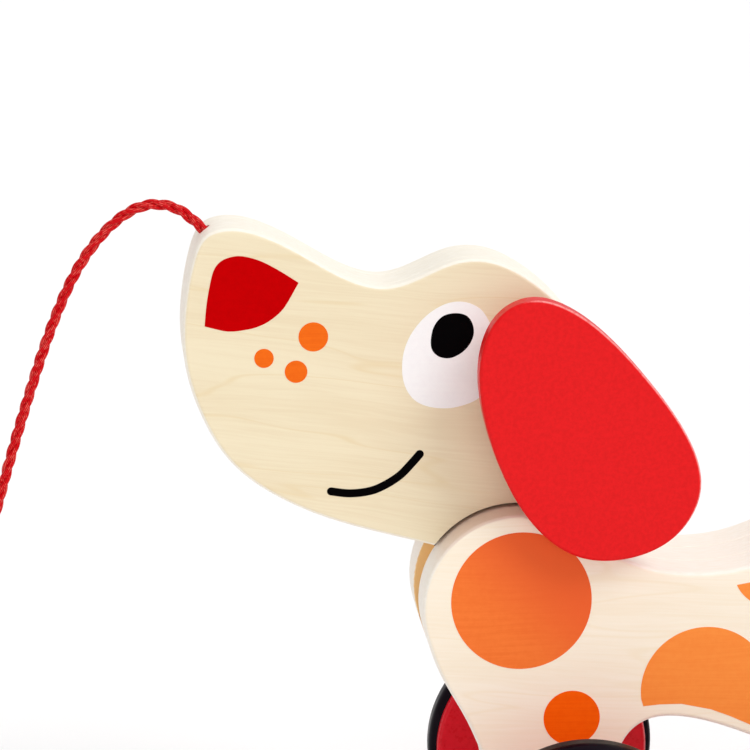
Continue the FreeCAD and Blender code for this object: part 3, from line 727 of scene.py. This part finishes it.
MUZZLE_SPOTS = [circle(-64.2, 123.9, 3.66), circle(-76.4, 118.7, 2.4),
                circle(-68.5, 115.2, 2.8)]
SHOULDER_SPOT = circle(-13.1, 57.8, 17.6)
LEG_SPOT = circle(-0.2, 27.1, 7.1)
RUMP_SPOT = circle(91.0, 47.0, 8.6)
THIGH_SPOT = circle(79.5, 31.5, 4.2)
NOSE = closed_line([
    (-90.9, 127.0), (-90.9, 127.6), (-90.5, 131.9), (-89.8, 136.2), (-88.8, 140.4),
    (-87.4, 142.7), (-85.1, 144.0), (-81.9, 144.4), (-77.6, 143.3), (-73.3, 141.1),
    (-68.6, 138.1), (-67.9, 137.5), (-68.2, 136.8), (-71.5, 131.2), (-75.0, 128.1),
    (-78.4, 126.5), (-81.9, 125.8), (-84.4, 125.6), (-86.5, 125.8), (-90.3, 126.8)])
EYE = closed_line([
    (-42.2, 114.7), (-41.8, 119.7), (-39.8, 124.5), (-36.3, 128.7), (-32.1, 131.4),
    (-28.4, 132.2), (-24.9, 131.5), (-21.9, 129.2), (-19.5, 124), (-18.8, 117),
    (-20, 111), (-22.8, 108), (-25.6, 106.4), (-30.3, 105.3), (-35.3, 105.7),
    (-39, 107.4), (-41.3, 110.6)])
PUPIL = closed_line([
    (-35.1, 122.6), (-34.3, 126.1), (-32.1, 128.6), (-28.9, 129.3), (-26.1, 128.5),
    (-24.6, 126), (-24.7, 123), (-26.6, 120), (-29.8, 118.1), (-32.8, 118.3),
    (-34.7, 120)])
SMILE = [(-59.9, 84.6), (-55.2, 84.0), (-50.2, 84.5), (-46.4, 86.0), (-42.7, 88.4),
         (-39.7, 91.5), (-37.8, 93.7)]
SMILE_WIDTH = 2.05


def stroke(points, width):
    """The outline of a brush stroke with round ends."""
    smooth = [points[0]]
    for index in range(len(points) - 1):
        before = np.array(points[max(index - 1, 0)])
        first = np.array(points[index])
        second = np.array(points[index + 1])
        after = np.array(points[min(index + 2, len(points) - 1)])
        for step in range(1, 9):
            t = step / 8
            smooth.append(tuple(0.5 * (2 * first + (second - before) * t
                                       + (2 * before - 5 * first + 4 * second - after) * t * t
                                       + (3 * first - before - 3 * second + after) * t ** 3)))
    line = np.array(smooth)
    heading = np.gradient(line, axis=0)
    heading /= np.linalg.norm(heading, axis=1)[:, None]
    across = np.stack([-heading[:, 1], heading[:, 0]], axis=1) * width / 2
    outline = [tuple(point) for point in line + across]
    angle = math.atan2(*across[-1][::-1])
    outline += [(line[-1][0] + width / 2 * math.cos(angle - math.pi * k / 10),
                 line[-1][1] + width / 2 * math.sin(angle - math.pi * k / 10))
                for k in range(1, 10)]
    outline += [tuple(point) for point in (line - across)[::-1]]
    angle = math.atan2(*(-across[0])[::-1])
    outline += [(line[0][0] + width / 2 * math.cos(angle - math.pi * k / 10),
                 line[0][1] + width / 2 * math.sin(angle - math.pi * k / 10))
                for k in range(1, 10)]
    return outline[::-1]


BELLY_SPOT = [(17.9, 29.7), (22.1, 30.1), (27.5, 30.1), (35.0, 28.5), (39.9, 26.6),
              (45.1, 24.2)] + circle(33.6, 33.6, 16.4, start=-34, end=190)
BACK_SPOT = [(59.3, 67.7), (54.0, 65.1), (49.0, 62.8), (44.5, 61.3), (41.0, 60.7)
             ] + circle(50.0, 64.7, 9.85, start=206, end=376)
TORSO_PRINTS = (
    ("shoulder_spot", [SHOULDER_SPOT], SHOULDER_ORANGE),
    ("leg_spot", [LEG_SPOT], LEG_ORANGE),
    ("body_spots", [BELLY_SPOT, BACK_SPOT, RUMP_SPOT, THIGH_SPOT], BELLY_ORANGE),
)
for side in SIDES:
    printed("muzzle_spots", MUZZLE_SPOTS, HEAD_FACE, side, "head", MUZZLE_ORANGE)
    printed("nose", [NOSE], HEAD_FACE, side, "head", NOSE_RED)
    printed("eye_white", [EYE], HEAD_FACE, side, "head", EYE_WHITE)
    printed("pupil", [PUPIL], HEAD_FACE, side, "head", BLACK, lift=FILM)
    printed("smile", [stroke(SMILE, SMILE_WIDTH)], HEAD_FACE, side, "head", BLACK)
    for label, outlines, material in TORSO_PRINTS:
        printed(label, outlines, TORSO_FACE, side, "torso", material)

# ------------------------------------------------------------------ floor and light


def floor():
    shader = Shader("floor_pale", Specular_IOR_Level=0.2)
    cloud = shader.noise(shader.stretched((0.004, 0.004, 0.004)), detail=3.0)
    material = shader.finish(
        shader.blend(shader.ramp(cloud, 0.3, 0.7), colour(249, 249, 249),
                     colour(250, 250, 250)),
        shader.ramp(cloud, 0.3, 0.7, 0.6, 0.7), cloud, 0.01)
    size = 12.0
    plane = new_mesh("floor", [(-size, -size, 0), (size, -size, 0), (size, size, 0),
                               (-size, size, 0)], [(0, 1, 2, 3)], smooth=False)
    plane.data.materials.append(material)


floor()
world = bpy.data.worlds.new("studio")
world.use_nodes = True
world.node_tree.nodes["Background"].inputs[0].default_value = (1.0, 1.0, 1.0, 1.0)
world.node_tree.nodes["Background"].inputs[1].default_value = 0.62
bpy.context.scene.world = world


def soft_sun(name, direction, angle, strength):
    """A wide, even light that shines along a direction."""
    light = bpy.data.lights.new(name, "SUN")
    light.angle = math.radians(angle)
    light.energy = strength
    lamp = bpy.data.objects.new(name, light)
    lamp.rotation_euler = Vector(direction).to_track_quat("-Z", "Y").to_euler()
    bpy.context.scene.collection.objects.link(lamp)


soft_sun("key", (-0.6, 0.55, -0.75), 30, 1.15)
soft_sun("top", (-0.1, -0.25, -1.0), 60, 0.75)
soft_sun("fill", (0.1, 1.0, -0.03), 50, 0.36)
